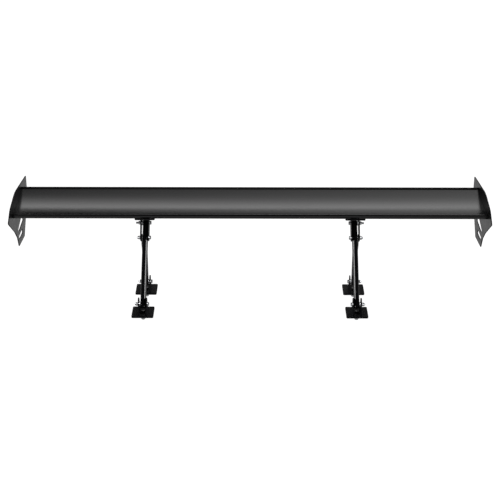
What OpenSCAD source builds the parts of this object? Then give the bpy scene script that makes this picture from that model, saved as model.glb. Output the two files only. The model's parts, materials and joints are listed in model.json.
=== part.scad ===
// Single deck rear wing for a road or race car: an extruded aluminium blade with two end
// plates, carried on two tubular stands. X runs along the span, +Y to the rear of the car,
// +Z up. Z = 0 is the top of the boot lid, under the rubber pads.

/* [Wing blade] */
// Span over the outer faces of the end plates
wing_span = 1352; // [900:2:1600]
// Height of the blade's nose centre above the boot lid
nose_height = 227; // [215:1:260]
// Distance of the blade's front edge behind the middle of the stands
nose_setback = 83.2; // [70:0.2:95]
// Wall thickness of the hollow blade
blade_wall = 2; // [1.5:0.1:2.2]
// Height of the turned up lip along the trailing edge
lip_height = 3.9; // [3:0.1:9]

/* [End plates] */
// Thickness of each end plate
plate_t = 3; // [2:0.5:4]

/* [Stands] */
// Distance of each stand's middle plane from the car's centre line
stand_offset = 299; // [150:1:450]
// Distance between the front and rear foot pivots
foot_pitch = 134; // [110:1:150]
// Outside diameter of the leg tubes
tube_d = 16; // [14:0.5:16]
// Wall thickness of the leg tubes
tube_wall = 1.2; // [1:0.1:2]
// Free width between the two ears of every bracket
ear_gap = 19; // [18.9:0.1:20]
// Sheet thickness of the brackets and feet
sheet_t = 3; // [2.5:0.5:3]
// Distance between the top pivot bolt and the tilt lock bolt
bolt_pitch = 45; // [42:1:50]
// How far the wing can be tilted each way before the lock bolt meets its slot's end
tilt_range = 6; // [2:1:7]

/* [Feet] */
// Width of a foot plate along the span
foot_w = 61; // [50:1:64]
// Length of a foot plate from front to rear
foot_l = 58; // [48:1:60]
// Height of the foot pivot above the foot plate
foot_pivot_h = 24; // [21:1:30]
// Thickness of the rubber pad under each foot
pad_t = 2; // [1:0.5:4]
// Length of a deck stud below its foot plate
stud_l = 22; // [18:1:30]

/* [Hidden] */
$fn = 64;
eps = 0.01;
film = 0.02;               // keeps a nut and its washer two pieces

// Colours
satin_black = "#26272a";
gloss_black = "#1a1a1c";
zinc = "#c9cdd0";
oxide_black = "#202022";
rubber_black = "#161616";

// Blade section, in millimetres behind the front edge and above the nose centre
nose_r = 5.5;
chin_r = 14;
floor_n = -10.5;           // the flat underside that the brackets bolt to
floor_end = 75;            // where the flat turns into the rising rear underside
dip_c = 66;                // the lowest point of the hollow upper surface
dip_n = 1.5;
trail_c = 170;             // rear face of the lip
trail_n = 8;               // lower corner of the trailing edge
lip_t = 2.6;
chin_c = nose_r + sqrt(pow(chin_r - nose_r, 2) - pow(chin_r + floor_n, 2));
chin_n = floor_n + chin_r;
top_r = (pow(dip_c - nose_r, 2) + dip_n * dip_n - nose_r * nose_r) / (2 * (nose_r - dip_n));
rear_rise = trail_n - floor_n;
rear_run = trail_c - floor_end;
rear_r = (rear_run * rear_run + rear_rise * rear_rise) / (2 * rear_rise);
cavity_end = 156;
web_t = 2;
web_c = [62, 108];
screw_ports = [[9.2, -3.4], [66, -4.6], [122, -0.6]];
port_r = 2.1;
port_wall_r = 4.4;
half_blade = wing_span / 2 - plate_t;
function upper_n(c) = dip_n + top_r - sqrt(top_r * top_r - pow(c - dip_c, 2));

// Stand geometry in the side view, [y, z]
pad_top = pad_t;
plate_top = pad_top + sheet_t;
foot_pivot_z = plate_top + foot_pivot_h;
front_pivot = [-foot_pitch / 2, foot_pivot_z];
rear_pivot = [foot_pitch / 2, foot_pivot_z];
flange_top = nose_height + floor_n;
flange_drop = 16.5;        // top pivot below the bracket flange's underside
top_pivot = [nose_setback + 23.8, flange_top - sheet_t - flange_drop];
leg_run = top_pivot - front_pivot;
leg_len = norm(leg_run);
leg_dir = leg_run / leg_len;
leg_side = [-leg_dir[1], leg_dir[0]];
lock_pivot = top_pivot - bolt_pitch * leg_dir;
rear_run_v = lock_pivot - rear_pivot;
rear_leg_len = norm(rear_run_v);
leg_angle = atan2(leg_dir[1], leg_dir[0]);
rear_leg_angle = atan2(rear_run_v[1], rear_run_v[0]);
lock_angle = leg_angle + 180;

// Across one stand: the front tube lies against the inner ear, the rear leg's flat end
// and the spacers fill the rest of the gap
tube_r = tube_d / 2;
tube_over = 10;            // tube length past each pivot
fill_t = 2.4;              // flattened tube end and spacers
side_play = (ear_gap - tube_d - fill_t) / 4;
front_tube_x = -ear_gap / 2 + side_play + tube_r;
rear_tube_x = -front_tube_x;
fill_x = ear_gap / 2 - side_play - fill_t;
ear_outer = ear_gap / 2 + sheet_t;

// Fasteners
bolt_r = 3;
running_r = 3.07;          // holes that turn on a bolt
hole_r = 3.3;              // holes that a bolt only passes through
core_r = 2.5;              // bolt under its nut's thread
hex_af = 10;
head_h = 4;
nut_h = 6;
washer_r = 6;
washer_t = 1.2;
slot_half = 3.2;
spacer_r = 7;

// Top bracket
flange_w = 57;
flange_l = 57;
flange_front = nose_setback + 5;
screw_x = 20.5;
screw_y = [nose_setback + 22, nose_setback + 50];
screw_r = 2.5;
insert_r = 3.45;

// ---- helpers ----

// 2D outline through points [x, y, corner radius], with round corners
function unit(v) = v / norm(v);
function corner(p, q, s) =
    let (a = unit([p[0] - q[0], p[1] - q[1]]), b = unit([s[0] - q[0], s[1] - q[1]]),
         half = acos(a * b) / 2, reach = q[2] / tan(half),
         centre = [q[0], q[1]] + unit(a + b) * q[2] / sin(half),
         first = [q[0], q[1]] + a * reach - centre, last = [q[0], q[1]] + b * reach - centre,
         from = atan2(first[1], first[0]), turn = atan2(last[1], last[0]) - from,
         sweep = turn > 180 ? turn - 360 : turn < -180 ? turn + 360 : turn,
         steps = max(2, ceil(abs(sweep) / 9)))
    [for (i = [0 : steps]) centre + q[2] * [cos(from + sweep * i / steps), sin(from + sweep * i / steps)]];
function rounded(points) =
    [for (i = [0 : len(points) - 1])
        for (p = corner(points[(i + len(points) - 1) % len(points)], points[i], points[(i + 1) % len(points)]))
            p];

// A side view outline [y, z], as a sheet between x and x + t
module side_sheet(x, t) {
    translate([x, 0, 0]) rotate([90, 0, 90]) linear_extrude(t) children();
}

// A round bar or bore along X
module x_rod(r, from, to, at) {
    translate([from, at[0], at[1]]) rotate([0, 90, 0]) cylinder(h = to - from, r = r);
}

module x_hex(af, from, to, at) {
    translate([from, at[0], at[1]]) rotate([0, 90, 0]) rotate(30)
        cylinder(h = to - from, r = af / 2 / cos(30), $fn = 6);
}

module x_ring(r, bore, from, to, at) {
    difference() {
        x_rod(r, from, to, at);
        x_rod(bore, from - 1, to + 1, at);
    }
}

// Everything of a stand is drawn for the right hand side, outwards along +X
module right() { translate([stand_offset, 0, 0]) children(); }
module left() { mirror([1, 0, 0]) right() children(); }

// Bolt across a bracket: hexagon head on the inner side, thread end outside
module cross_bolt(at, length) {
    head_seat = -ear_outer - washer_t;
    tip = head_seat + length;
    nut_seat = ear_outer + washer_t;
    color(zinc) {
        x_hex(hex_af, head_seat - head_h, head_seat, at);
        x_rod(bolt_r, head_seat - eps, nut_seat, at);
        x_rod(core_r, nut_seat - eps, tip, at);
    }
}

// Lock nut and the two washers of a cross bolt, all separate solids
module cross_nut(at) {
    nut_seat = ear_outer + washer_t + film;
    color(zinc) {
        difference() {
            union() {
                x_hex(hex_af, nut_seat, nut_seat + nut_h - 1.4, at);
                x_rod(hex_af / 2 - 0.4, nut_seat + nut_h - 1.4 - eps, nut_seat + nut_h, at);
            }
            x_rod(core_r + 0.04, nut_seat - 1, nut_seat + nut_h + 1, at);
        }
        x_ring(washer_r, hole_r, ear_outer, ear_outer + washer_t, at);
        x_ring(washer_r, hole_r, -ear_outer - washer_t, -ear_outer, at);
    }
}

// ---- wing blade ----

// Blade section inset by t: hollow top, optional lip, rising rear underside, flat floor, chin
// and nose arcs
function arc(centre, r, from, to, steps) =
    [for (i = [0 : steps]) centre + r * [cos(from + (to - from) * i / steps), sin(from + (to - from) * i / steps)]];
function section(t, end_c, lip) =
    let (hub = [dip_c, dip_n + top_r], crest = atan2(hub[1], hub[0] - nose_r),
         chin = atan2(-chin_n, nose_r - chin_c),
         top_end = lip ? atan2(lip_foot[1] - hub[1], lip_foot[0] - hub[0]) : -acos((end_c - dip_c) / (top_r + t)))
    concat(
        arc(hub, top_r + t, crest - 180, top_end, 40),
        lip ? lip_points(top_end) : [],
        arc([floor_end, floor_n + rear_r], rear_r - t, -acos((end_c - floor_end) / (rear_r - t)), -90, 24),
        arc([chin_c, chin_n], chin_r - t, -90, chin, 12),
        [for (i = [1 : 19]) [nose_r, 0] + (nose_r - t) * [cos(chin + (crest - 360 - chin) * i / 20),
                                                         sin(chin + (crest - 360 - chin) * i / 20)]]);

// Turned up trailing edge lip: inner fillet, then the rounded edge
lip_fillet = 0.75 * (lip_height - lip_t / 2);
lip_foot_c = trail_c - lip_t - lip_fillet;
lip_foot = [lip_foot_c, dip_n + top_r - sqrt(pow(top_r - lip_fillet, 2) - pow(lip_foot_c - dip_c, 2))];
lip_top = upper_n(trail_c) + lip_height - lip_t / 2;
function lip_points(top_end) =
    concat([for (i = [1 : 10]) lip_foot + lip_fillet * [cos(top_end * (1 - i / 10)), sin(top_end * (1 - i / 10))]],
           arc([trail_c - lip_t / 2, lip_top], lip_t / 2, 180, 0, 12));

module blade_section() {
    difference() {
        polygon(section(0, trail_c, true));
        difference() {
            polygon(section(blade_wall, cavity_end, false));
            for (c = web_c) translate([c - web_t / 2, -20]) square([web_t, 40]);
            for (p = screw_ports) translate(p) circle(port_wall_r);
        }
        for (p = screw_ports) translate(p) circle(port_r);
    }
}

module place_section() {
    translate([0, nose_setback, nose_height]) children();
}

module wing_blade() {
    color(satin_black) difference() {
        place_section() side_sheet(-half_blade, 2 * half_blade) blade_section();
        for (side = [-1, 1], x = [-screw_x, screw_x], y = screw_y)
            translate([side * stand_offset + x, y, flange_top - 1])
                cylinder(h = blade_wall + 2, r = insert_r + 0.05);
    }
}

// ---- end plates ----

plate_outline = [
    [31.5, 227, 4], [70, 253, 60], [158, 269, 150], [333.5, 245, 4], [331.5, 211, 14],
    [272, 126, 14], [238, 90, 5], [150.5, 99.5, 2], [137, 133, 25], [108, 165, 45]
];
upper_slot = [[149, 150, 2], [168, 141.5, 4], [245, 144, 3], [207, 164.5, 4]];
lower_slot = [[155, 128, 2], [162, 116.5, 3], [217, 113.5, 2], [210, 128, 3]];

module end_plate() {
    color(satin_black) difference() {
        side_sheet(half_blade, plate_t) difference() {
            polygon(rounded(plate_outline));
            polygon(rounded(upper_slot));
            polygon(rounded(lower_slot));
        }
        for (p = screw_ports) place_section()
            x_rod(port_r + 0.6, half_blade - 1, half_blade + plate_t + 1, p);
    }
}

module end_plate_screws() {
    head = 2.2;
    head_r = 4.6;
    length = 18;
    socket_af = 3;
    seat = half_blade + plate_t;
    color(gloss_black) for (p = screw_ports) place_section() difference() {
        union() {
            x_rod(port_r - 0.02, seat - length, seat + eps, p);
            x_rod(head_r, seat, seat + head / 2, p);
            translate([seat + head / 2, p[0], p[1]]) rotate([0, 90, 0])
                cylinder(h = head / 2, r1 = head_r, r2 = head_r - 1.4);
        }
        x_hex(socket_af, seat + 0.6, seat + head + 1, p);
    }
}

// ---- top brackets ----

ear_half = 13;             // half width of the ear across the leg
ear_end = bolt_pitch + slot_half + 6;
function along_leg(a, b) = top_pivot - a * leg_dir + b * leg_side;
function with_r(p, r) = [p[0], p[1], r];

top_ear = [
    [flange_front + 2, flange_top - sheet_t / 2, 0.5],
    with_r(along_leg(ear_end, ear_half), 9),
    with_r(along_leg(ear_end, -ear_half), 9),
    with_r(along_leg(4, -ear_half), 14),
    [flange_front + flange_l - 7, flange_top - sheet_t / 2, 0.5]
];

// Curved slot for the tilt lock bolt, centred on the top pivot
module lock_slot() {
    turn = tilt_range + 0.4;
    reach = 80;
    a = lock_angle - turn;
    b = lock_angle + turn;
    translate(top_pivot) {
        intersection() {
            difference() {
                circle(bolt_pitch + slot_half, $fn = 128);
                circle(bolt_pitch - slot_half, $fn = 128);
            }
            polygon([[0, 0], reach * [cos(a), sin(a)], reach * [cos(b), sin(b)]]);
        }
        for (t = [a, b]) translate(bolt_pitch * [cos(t), sin(t)]) circle(slot_half);
    }
}

module top_bracket() {
    color(gloss_black) difference() {
        union() {
            translate([0, flange_front + flange_l / 2, flange_top - sheet_t])
                plate(flange_w, flange_l, sheet_t, 3);
            for (x = [-ear_outer, ear_gap / 2])
                side_sheet(x, sheet_t) difference() {
                    polygon(rounded(top_ear));
                    translate(top_pivot) circle(hole_r);
                    lock_slot();
                }
        }
        for (x = [-screw_x, screw_x], y = screw_y)
            translate([x, y, flange_top - sheet_t - 1]) cylinder(h = sheet_t + 2, r = screw_r + 0.3);
    }
}

// Flat plate with round corners, centred on X and Y
module plate(w, l, t, r) {
    linear_extrude(t) {
        square([w - 2 * r, l], center = true);
        square([w, l - 2 * r], center = true);
        for (x = [-1, 1], y = [-1, 1]) translate([x * (w / 2 - r), y * (l / 2 - r)]) circle(r);
    }
}

module bracket_screws() {
    head_r = 4.6;
    head = 3.4;
    length = 12;
    seat = flange_top - sheet_t;
    color(zinc) for (x = [-screw_x, screw_x], y = screw_y) translate([x, y, seat]) {
        translate([0, 0, -head]) cylinder(h = head, r = 4 / cos(30), $fn = 6);
        translate([0, 0, -1]) cylinder(h = 1, r = head_r + 0.7);
        translate([0, 0, -eps]) cylinder(h = length, r = screw_r);
    }
}

// Rivet nuts set in the blade's floor, one for each bracket screw
module bracket_inserts() {
    body_h = 9;
    bulge_h = 2.2;
    color(zinc) for (x = [-screw_x, screw_x], y = screw_y) translate([x, y, flange_top])
        difference() {
            union() {
                cylinder(h = body_h, r = insert_r);
                translate([0, 0, blade_wall]) cylinder(h = bulge_h, r = insert_r + 1);
            }
            translate([0, 0, -1]) cylinder(h = body_h + 2, r = screw_r + 0.04);
        }
}

// ---- legs ----

// Tube along the local Z axis from the origin, drilled across at the given heights
module drilled_tube(length, start, bores) {
    difference() {
        translate([0, 0, start]) cylinder(h = length, r = tube_r);
        translate([0, 0, start - 1]) cylinder(h = length + 2, r = tube_r - tube_wall);
        for (h = bores) translate([-tube_d, 0, h]) rotate([0, 90, 0]) cylinder(h = 2 * tube_d, r = running_r);
    }
}

module front_leg() {
    color(gloss_black) translate([front_tube_x, front_pivot[0], front_pivot[1]])
        rotate([leg_angle - 90, 0, 0])
            drilled_tube(leg_len + 2 * tube_over, -tube_over, [0, leg_len - bolt_pitch, leg_len]);
}

// Squeezed stretch above a tube's mouth: round at the bottom, a flat strip from flat_x to the
// tube's outer side at the top. It reaches a little into the tube and closes it.
module squeeze(length, half_w, flat_x) {
    inset = 3;
    side = tube_r - 0.05;
    intersection() {
        translate([0, 0, -inset]) cylinder(h = length + inset, r1 = tube_r - 0.4, r2 = norm([tube_r, half_w]) + 0.1);
        rotate([90, 0, 0]) linear_extrude(4 * half_w, center = true)
            polygon([[-tube_r - 1, -inset], [side, -inset], [side, length], [flat_x, length], [-tube_r - 1, 0]]);
        rotate([90, 0, 90]) linear_extrude(4 * half_w, center = true)
            polygon([[-tube_r - 0.3, -inset], [tube_r + 0.3, -inset], [half_w, length], [-half_w, length]]);
    }
}

// The rear tube's upper end is pressed flat on its outer side, to lie beside the front tube
module rear_leg() {
    lug_r = 10.5;
    flat_l = 20;           // flat stretch below the lock bolt
    press_l = 26;          // length over which the tube is squeezed
    tube_l = rear_leg_len - flat_l - press_l + tube_over;
    flat_x = fill_x - rear_tube_x;
    color(gloss_black) translate([rear_tube_x, rear_pivot[0], rear_pivot[1]])
        rotate([rear_leg_angle - 90, 0, 0]) {
            drilled_tube(tube_l, -tube_over, [0]);
            translate([0, 0, tube_l - tube_over]) squeeze(press_l, lug_r, flat_x);
            difference() {
                union() {
                    translate([flat_x, -lug_r, rear_leg_len - flat_l - 1]) cube([fill_t, 2 * lug_r, flat_l + 1]);
                    translate([flat_x, 0, rear_leg_len]) rotate([0, 90, 0]) cylinder(h = fill_t, r = lug_r);
                }
                translate([0, 0, rear_leg_len]) rotate([0, 90, 0]) cylinder(h = tube_d, r = running_r);
            }
        }
}

module spacer(at, x) {
    color(zinc) x_ring(spacer_r, running_r, x, x + fill_t, at);
}

// ---- feet ----

ear_r = 12;                // round top of a foot ear
ear_foot = 22;             // half width of a foot ear at the plate
ear_step = 5;              // upright stretch of the ear above the plate
ear_rise = 7;              // middle of the round top above the pivot

module foot_ear() {
    rise = foot_pivot_h + ear_rise;
    reach = [ear_foot, rise - ear_step];
    swing = atan2(reach[1], reach[0]) + asin(ear_r / norm(reach));
    run = sqrt(reach * reach - ear_r * ear_r);
    touch = [-ear_foot, ear_step] + run * [cos(swing), sin(swing)];
    translate([0, plate_top]) {
        polygon([[-ear_foot, -eps], [-ear_foot, ear_step], touch, [0, rise],
                 [-touch[0], touch[1]], [ear_foot, ear_step], [ear_foot, -eps]]);
        translate([0, rise]) circle(ear_r);
    }
}

module foot(pivot) {
    color(gloss_black) translate([0, pivot[0], 0]) difference() {
        union() {
            translate([0, 0, pad_top]) plate(foot_w, foot_l, sheet_t, 4);
            for (x = [-ear_outer, ear_gap / 2])
                side_sheet(x, sheet_t) difference() {
                    foot_ear();
                    translate([0, foot_pivot_z]) circle(hole_r);
                }
        }
        translate([0, 0, -1]) cylinder(h = plate_top + 2, r = 3.35);
    }
}

module pad(pivot) {
    color(rubber_black) translate([0, pivot[0], 0]) difference() {
        plate(foot_w, foot_l, pad_t, 4);
        translate([0, 0, -1]) cylinder(h = pad_t + 2, r = 4.4);
    }
}

clamp_gap = 14.4;          // bare thread between the foot plate and the washer below

// Deck bolt: its head sits between the ears and its stud hangs through the boot lid
module deck_bolt(pivot) {
    neck_r = 3.25;
    color(oxide_black) translate([0, pivot[0], 0]) {
        translate([0, 0, plate_top]) rotate(30) cylinder(h = head_h, r = hex_af / 2 / cos(30), $fn = 6);
        translate([0, 0, pad_top]) cylinder(h = sheet_t + eps, r = neck_r);
        translate([0, 0, pad_top - clamp_gap]) cylinder(h = clamp_gap + eps, r = bolt_r);
        translate([0, 0, pad_top - stud_l]) cylinder(h = stud_l - clamp_gap + eps, r = core_r);
    }
}

module deck_nut(pivot) {
    seat = pad_top - clamp_gap;
    thick = 5;
    color(zinc) translate([0, pivot[0], 0]) {
        translate([0, 0, seat - washer_t]) difference() {
            cylinder(h = washer_t, r = washer_r);
            translate([0, 0, -1]) cylinder(h = washer_t + 2, r = hole_r);
        }
        translate([0, 0, seat - washer_t - thick]) difference() {
            cylinder(h = thick, r = hex_af / 2 / cos(30), $fn = 6);
            translate([0, 0, -1]) cylinder(h = thick + 2, r = core_r + 0.04);
        }
    }
}

// ---- the assembly ----

long_bolt = 40;
short_bolt = 36;

wing_blade();
mirror([1, 0, 0]) end_plate();  // left_end_plate
end_plate();  // right_end_plate
mirror([1, 0, 0]) end_plate_screws();  // left_end_plate_screws
end_plate_screws();  // right_end_plate_screws
left() top_bracket();  // left_top_bracket
right() top_bracket();  // right_top_bracket
left() bracket_screws();  // left_bracket_screws
right() bracket_screws();  // right_bracket_screws
left() bracket_inserts();  // left_bracket_inserts
right() bracket_inserts();  // right_bracket_inserts
left() cross_bolt(top_pivot, long_bolt);  // left_top_bolt
right() cross_bolt(top_pivot, long_bolt);  // right_top_bolt
left() cross_nut(top_pivot);  // left_top_nut
right() cross_nut(top_pivot);  // right_top_nut
left() spacer(top_pivot, fill_x);  // left_top_spacer
right() spacer(top_pivot, fill_x);  // right_top_spacer
left() front_leg();  // left_front_leg
right() front_leg();  // right_front_leg
left() cross_bolt(lock_pivot, short_bolt);  // left_lock_bolt
right() cross_bolt(lock_pivot, short_bolt);  // right_lock_bolt
left() cross_nut(lock_pivot);  // left_lock_nut
right() cross_nut(lock_pivot);  // right_lock_nut
left() rear_leg();  // left_rear_leg
right() rear_leg();  // right_rear_leg
left() foot(front_pivot);  // left_front_foot
right() foot(front_pivot);  // right_front_foot
left() pad(front_pivot);  // left_front_pad
right() pad(front_pivot);  // right_front_pad
left() cross_bolt(front_pivot, short_bolt);  // left_front_foot_bolt
right() cross_bolt(front_pivot, short_bolt);  // right_front_foot_bolt
left() cross_nut(front_pivot);  // left_front_foot_nut
right() cross_nut(front_pivot);  // right_front_foot_nut
left() spacer(front_pivot, fill_x);  // left_front_spacer
right() spacer(front_pivot, fill_x);  // right_front_spacer
left() deck_bolt(front_pivot);  // left_front_deck_bolt
right() deck_bolt(front_pivot);  // right_front_deck_bolt
left() deck_nut(front_pivot);  // left_front_deck_nut
right() deck_nut(front_pivot);  // right_front_deck_nut
left() foot(rear_pivot);  // left_rear_foot
right() foot(rear_pivot);  // right_rear_foot
left() pad(rear_pivot);  // left_rear_pad
right() pad(rear_pivot);  // right_rear_pad
left() cross_bolt(rear_pivot, short_bolt);  // left_rear_foot_bolt
right() cross_bolt(rear_pivot, short_bolt);  // right_rear_foot_bolt
left() cross_nut(rear_pivot);  // left_rear_foot_nut
right() cross_nut(rear_pivot);  // right_rear_foot_nut
left() spacer(rear_pivot, -fill_x - fill_t);  // left_rear_spacer
right() spacer(rear_pivot, -fill_x - fill_t);  // right_rear_spacer
left() deck_bolt(rear_pivot);  // left_rear_deck_bolt
right() deck_bolt(rear_pivot);  // right_rear_deck_bolt
left() deck_nut(rear_pivot);  // left_rear_deck_nut
right() deck_nut(rear_pivot);  // right_rear_deck_nut
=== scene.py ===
import bpy
import json
import math
from mathutils import Matrix, Vector


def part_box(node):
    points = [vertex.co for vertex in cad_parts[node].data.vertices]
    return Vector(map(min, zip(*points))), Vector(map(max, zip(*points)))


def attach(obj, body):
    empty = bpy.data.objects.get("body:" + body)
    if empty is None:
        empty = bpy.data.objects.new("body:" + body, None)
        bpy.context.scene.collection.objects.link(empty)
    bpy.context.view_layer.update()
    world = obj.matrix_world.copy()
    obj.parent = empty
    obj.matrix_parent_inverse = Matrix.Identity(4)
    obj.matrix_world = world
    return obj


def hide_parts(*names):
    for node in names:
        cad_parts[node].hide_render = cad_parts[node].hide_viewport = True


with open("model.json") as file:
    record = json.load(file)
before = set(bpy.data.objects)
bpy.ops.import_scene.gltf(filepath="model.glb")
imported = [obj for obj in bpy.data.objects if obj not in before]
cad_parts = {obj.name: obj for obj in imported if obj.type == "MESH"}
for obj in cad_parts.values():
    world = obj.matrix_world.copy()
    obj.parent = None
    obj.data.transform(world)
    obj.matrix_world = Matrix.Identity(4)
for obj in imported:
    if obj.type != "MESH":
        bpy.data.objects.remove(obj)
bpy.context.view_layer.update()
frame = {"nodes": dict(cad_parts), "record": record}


# ---- shader sums ----

class Wire:    # a node's output that takes part in sums
    def __init__(self, paint, socket):
        self.paint = paint
        self.socket = socket

    def sum(self, operation, first, second):
        return self.paint.add("ShaderNodeMath", {"operation": operation}, {0: first, 1: second})

    def __add__(self, other):
        return self.sum("ADD", self, other)

    __radd__ = __add__

    def __sub__(self, other):
        return self.sum("SUBTRACT", self, other)

    def __rsub__(self, other):
        return self.sum("SUBTRACT", other, self)

    def __mul__(self, other):
        return self.sum("MULTIPLY", self, other)


class Paint:    # the nodes of one material, or of the studio's surroundings
    def __init__(self, tree):
        self.tree = tree

    def add(self, kind, settings, inputs, output=0):
        node = self.tree.nodes.new(kind)
        for key, value in settings.items():
            if key == "stops":
                self.setStops(node.color_ramp, value)
            else:
                setattr(node, key, value)
        for key, value in inputs.items():
            self.plug(node.inputs[key], value)
        return Wire(self, node.outputs[output])

    def setStops(self, ramp, stops):
        while len(ramp.elements) < len(stops):
            ramp.elements.new(0.5)
        for element, (position, color) in zip(ramp.elements, stops):
            element.position = position
            element.color = color

    def plug(self, socket, value):
        if isinstance(value, Wire):
            self.tree.links.new(value.socket, socket)
        else:
            socket.default_value = value

    def ramp(self, value, stops):    # grey levels along a value
        grey = tuple((position, (level, level, level, 1)) for position, level in stops)
        return self.add("ShaderNodeValToRGB", {"stops": grey}, {"Fac": value}, "Color")

    def span(self, value, start, end, low=0.0, high=1.0):    # start to end becomes low to high
        limits = {"From Min": start, "From Max": end, "To Min": low, "To Max": high}
        return self.add("ShaderNodeMapRange", {}, {"Value": value, **limits})

    def noise(self, scale, detail=3, roughness=0.5, stretch=(1, 1, 1)):
        spot = self.add("ShaderNodeTexCoord", {}, {}, "Object")
        place = self.add("ShaderNodeMapping", {}, {"Vector": spot, "Scale": stretch})
        inputs = {"Vector": place, "Scale": scale, "Detail": detail, "Roughness": roughness}
        return self.add("ShaderNodeTexNoise", {}, inputs, "Fac")

    def shades(self, value, dark, light):    # from one tone to the other over the middle of a noise
        stops = ((0.3, (*dark, 1)), (0.7, (*light, 1)))
        return self.add("ShaderNodeValToRGB", {"stops": stops}, {"Fac": value}, "Color")

    def bump(self, height, strength, distance):
        inputs = {"Height": height, "Strength": strength, "Distance": distance}
        return self.add("ShaderNodeBump", {}, inputs, "Normal")


# ---- camera, floor and lights ----

shot = {
    "target": (0, 0, 0.1645),
    "distance": 3.4,
    "elevation": 26.8,      # degrees above the deck
    "roll": 0.11,           # degrees
    "lens": 87.8,
    "sensor": 36,
    "sight": 200,           # it sees past the end of the floor
}
studio = {
    "floorSize": 160,
    "floorDrop": 0.0005,    # under the tips of the deck studs
    "floorTone": (0.5, 0.5, 0.5, 1),
    "floorRoughness": 0.9,
    "floorGlow": 1.0,       # what the camera sees of it
    "floorBounce": 0.22,    # what the wing sees of it
    "skyGlow": 1.05,        # what the camera sees of the surroundings
    "brightest": 2.0,       # what level 1 below stands for
    # ramps: the height of a direction, 0 to 1, and the level there
    "rearLevel": ((0, 0.0), (0.195, 0.0), (0.23, 0.175), (0.355, 0.17), (0.365, 0.98), (0.41, 0.88),
                  (0.49, 0.70), (0.58, 0.44), (0.63, 0.32), (0.7, 0.30), (0.82, 0.33), (0.9, 0.03)),
    "rearLean": ((0, 0.0), (0.19, 0.45), (0.355, 0.45), (0.37, 0.0), (0.6, 0.45), (0.67, 0.8),
                 (0.82, 0.75), (0.9, 0.0)),     # how much the level grows towards the right
    "leanReach": 0.25,      # and how far to a side it goes on changing
    "rearFade": ((0.3, 1.0), (0.55, 0.2)),      # towards both sides
    "rearStarts": (-0.1, 0.15),                 # the rear takes over from the front between these
    "frontLevel": ((0, 0.12), (0.4, 0.05), (0.6, 0.01)),
    "frontGlow": ((0, 0.0), (0.12, 0.25), (0.3, 0.4), (0.45, 0.12), (0.55, 0.0)),   # for views from the back
    "glowStarts": (-0.4, -0.75),
    # pairs of panels; each panel lights its own side's pieces, or the other side's where it is crossed
    "panels": {
        "leg": {"at": (2.6, -0.3, 2.0), "aim": (0, 0.1, 0.12), "size": (1.3, 1.6), "power": 62,
                "crossed": True},
        "bolt": {"at": (0.5, -1.9, 2.6), "aim": (0.3, 0.1, 0.12), "size": (1.6, 0.8), "power": 110},
        "bounce": {"at": (0.45, 0.8, -0.012), "aim": (0.45, 0.8, 1), "size": (0.8, 1.0), "power": 1.3},
        "outer": {"at": (2.6, 0.5, 1.1), "aim": (0.68, 0.18, 0.2), "size": (1.4, 1.4), "power": 40},
        "rear": {"at": (0.6, 2.8, 0.25), "aim": (0.3, 0.1, 0.1), "size": (1.6, 0.5), "power": 12},
    },
    "litBy": {              # material slots and the panels that light them
        "plate_black": ("bounce", "outer"),
        "screw_black": ("outer",),
        "bracket_black": ("rear",),
        "tube_black": ("leg", "rear"),
        "foot_black": ("leg",),
        "spacer_zinc": ("bolt", "rear"),
        "fastener_zinc": ("bolt", "rear"),
    },
}


def addCamera():
    tilt = math.radians(shot["elevation"])
    back = Vector((0, -math.cos(tilt), math.sin(tilt)))
    aim = Matrix.Rotation(math.pi / 2 - tilt, 3, "X") @ Matrix.Rotation(math.radians(shot["roll"]), 3, "Z")
    place = Vector(shot["target"]) + back * shot["distance"]
    bpy.ops.object.camera_add(location=place, rotation=aim.to_euler())
    camera = bpy.context.object
    camera.data.lens = shot["lens"]
    camera.data.sensor_width = shot["sensor"]
    camera.data.clip_end = shot["sight"]
    bpy.context.scene.camera = camera


def addPanel(name, panel, side):    # it lights only the pieces that its collection gets
    mirror = Vector((side, 1, 1))
    at = Vector(panel["at"]) * mirror
    bpy.ops.object.light_add(type="AREA", location=at)
    light = bpy.context.object
    light.name = name
    light.data.shape = "RECTANGLE"
    light.data.size, light.data.size_y = panel["size"]
    light.data.energy = panel["power"]
    aim = Vector(panel["aim"]) * mirror
    light.rotation_euler = (aim - at).to_track_quat("-Z", "Y").to_euler()
    light.visible_camera = False
    group = bpy.data.collections.new(name + "Targets")
    light.light_linking.receiver_collection = group
    return group


def addSurroundings():    # a grey studio, brighter behind the wing; the camera sees it white
    world = bpy.data.worlds.new("studio")
    bpy.context.scene.world = world
    world.use_nodes = True
    paint = Paint(world.node_tree)
    way = paint.add("ShaderNodeTexCoord", {}, {}, "Generated")
    split = paint.add("ShaderNodeSeparateXYZ", {}, {"Vector": way})
    across, along, height = (Wire(paint, split.socket.node.outputs[name]) for name in "XYZ")
    reach = studio["leanReach"]
    lean = paint.span(across, -reach, reach, -reach, reach)
    aside = paint.ramp(across.sum("ABSOLUTE", across, 0.0), studio["rearFade"])
    rear = aside * (paint.ramp(height, studio["rearLevel"]) + lean * paint.ramp(height, studio["rearLean"]))
    ahead = paint.span(along, *studio["glowStarts"])
    front = paint.ramp(height, studio["frontLevel"]) + ahead * paint.ramp(height, studio["frontGlow"])
    behind = paint.span(along, *studio["rearStarts"])
    level = (front + behind * (rear - front)) * studio["brightest"]
    seen = paint.add("ShaderNodeLightPath", {}, {}, "Is Camera Ray")
    level = level + seen * (studio["skyGlow"] - level)
    paint.plug(world.node_tree.nodes["Background"].inputs["Strength"], level)
    paint.plug(world.node_tree.nodes["Background"].inputs["Color"], (1, 1, 1, 1))


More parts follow.
